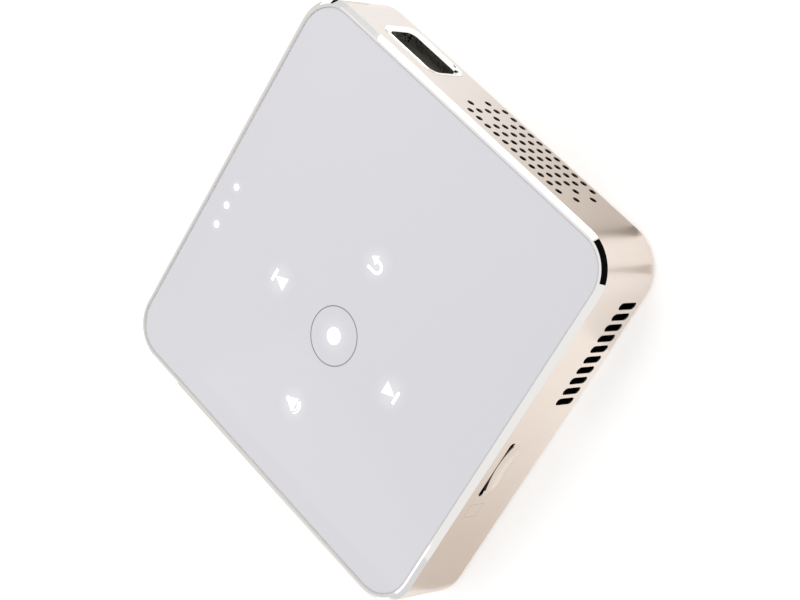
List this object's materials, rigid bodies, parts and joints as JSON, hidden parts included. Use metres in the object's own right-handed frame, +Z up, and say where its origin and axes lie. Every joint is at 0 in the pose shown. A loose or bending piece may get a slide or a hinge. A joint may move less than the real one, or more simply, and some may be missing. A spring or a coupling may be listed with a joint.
{
  "type": "pocket projector",
  "caption": "Square pocket projector with a white glass touch top, satin metal side frame, perforated lens side, side louvres and a memory card slot.",
  "frame": {"origin": "middle of the body, on the surface its feet stand on", "axes": "+Z up through the touch glass, the lens looks along -Y, the card slot and louvres are on -X, the sockets on +Y"},
  "size_m": [0.0807, 0.081, 0.0154],
  "materials": {
    "anodised_champagne": "satin anodised, diamond-cut polished edges",
    "polished_trim": "polished",
    "white_glass": "glossy, printed white on the back",
    "clear_glass": "coated optical glass",
    "cover_plastic": "fine spark texture",
    "black_plastic": "moulded",
    "white_plastic": "milky",
    "rubber": "matte",
    "board_green": "solder mask",
    "chip_black": "epoxy",
    "nickel": "plated, stamped",
    "steel": "plated",
    "brass": "turned",
    "cast_engine": "black cast magnesium",
    "copper": "bare copper",
    "fin_aluminium": "bare",
    "flex": "polyimide film",
    "cell_wrap": "foil pouch",
    "adhesive": "acrylic foam tape"
  },
  "bodies": {
    "chassis": {"side_frame": "anodised_champagne", "bottom_cover": "cover_plastic", "top_glass": "white_glass", "glass_adhesive": "adhesive", "light_diffuser": "white_plastic", "touch_board": "board_green", "indicator_leds": "white_plastic", "rubber_feet": "rubber", "tripod_insert": "brass", "cover_screws": "steel", "lens_bezel": "polished_trim", "lens_window": "clear_glass", "focus_axle": "steel", "engine_housing": "cast_engine", "imager_board": "board_green", "imager_chip": "nickel", "light_modules": "copper", "heat_spreader": "copper", "heat_pipe": "copper", "heat_sink": "fin_aluminium", "fan_housing": "black_plastic", "fan_cover": "black_plastic", "fan_screws": "steel", "engine_screws": "steel", "board_screws": "steel", "main_board": "board_green", "processor_shield": "nickel", "board_parts": "chip_black", "hdmi_socket": "nickel", "usb_socket": "nickel", "power_socket": "nickel", "audio_jack": "black_plastic", "power_switch": "black_plastic", "reset_switch": "black_plastic", "card_socket": "nickel", "flex_connectors": "white_plastic", "touch_flex": "flex", "battery_tray": "black_plastic", "battery_cell": "cell_wrap", "speaker_mesh": "black_plastic", "speaker_module": "black_plastic"},
    "focus_wheel": {"focus_wheel": "black_plastic"},
    "lens_group": {"lens_barrel": "black_plastic", "front_lens": "clear_glass", "rear_lens": "clear_glass", "focus_carrier": "black_plastic"},
    "fan_rotor": {"fan_rotor": "black_plastic"},
    "power_slider": {"power_slider": "black_plastic"},
    "reset_button": {"reset_button": "white_plastic"},
    "card_slider": {"card_slider": "black_plastic"}
  },
  "joints": [
    {"name": "lens_slide", "type": "slide", "parent": "chassis", "child": "lens_group", "axis": [0, -1, 0], "range_m": [-0.0008, 0.0008]},
    {"name": "focus_turn", "type": "hinge", "parent": "chassis", "child": "focus_wheel", "pos_m": [0.0335, -0.022, 0.0089], "axis": [0, 0, 1], "range_deg": [-60, 60]},
    {"name": "fan_spin", "type": "hinge", "parent": "chassis", "child": "fan_rotor", "pos_m": [-0.0176, -0.0202, 0.005], "axis": [0, 0, 1], "continuous": true},
    {"name": "power_slide", "type": "slide", "parent": "chassis", "child": "power_slider", "axis": [1, 0, 0], "range_m": [0, 0.0025]},
    {"name": "reset_press", "type": "slide", "parent": "chassis", "child": "reset_button", "axis": [0, -1, 0], "range_m": [0, 0.0003], "stiffness_N_per_m": 400, "springref_m": -0.0005},
    {"name": "card_push", "type": "slide", "parent": "chassis", "child": "card_slider", "axis": [1, 0, 0], "range_m": [0, 0.0008], "stiffness_N_per_m": 200, "springref_m": -0.001}
  ],
  "couplings": [
    {"joint": "focus_turn", "follows": "lens_slide", "rad_per_m": 1309}
  ]
}
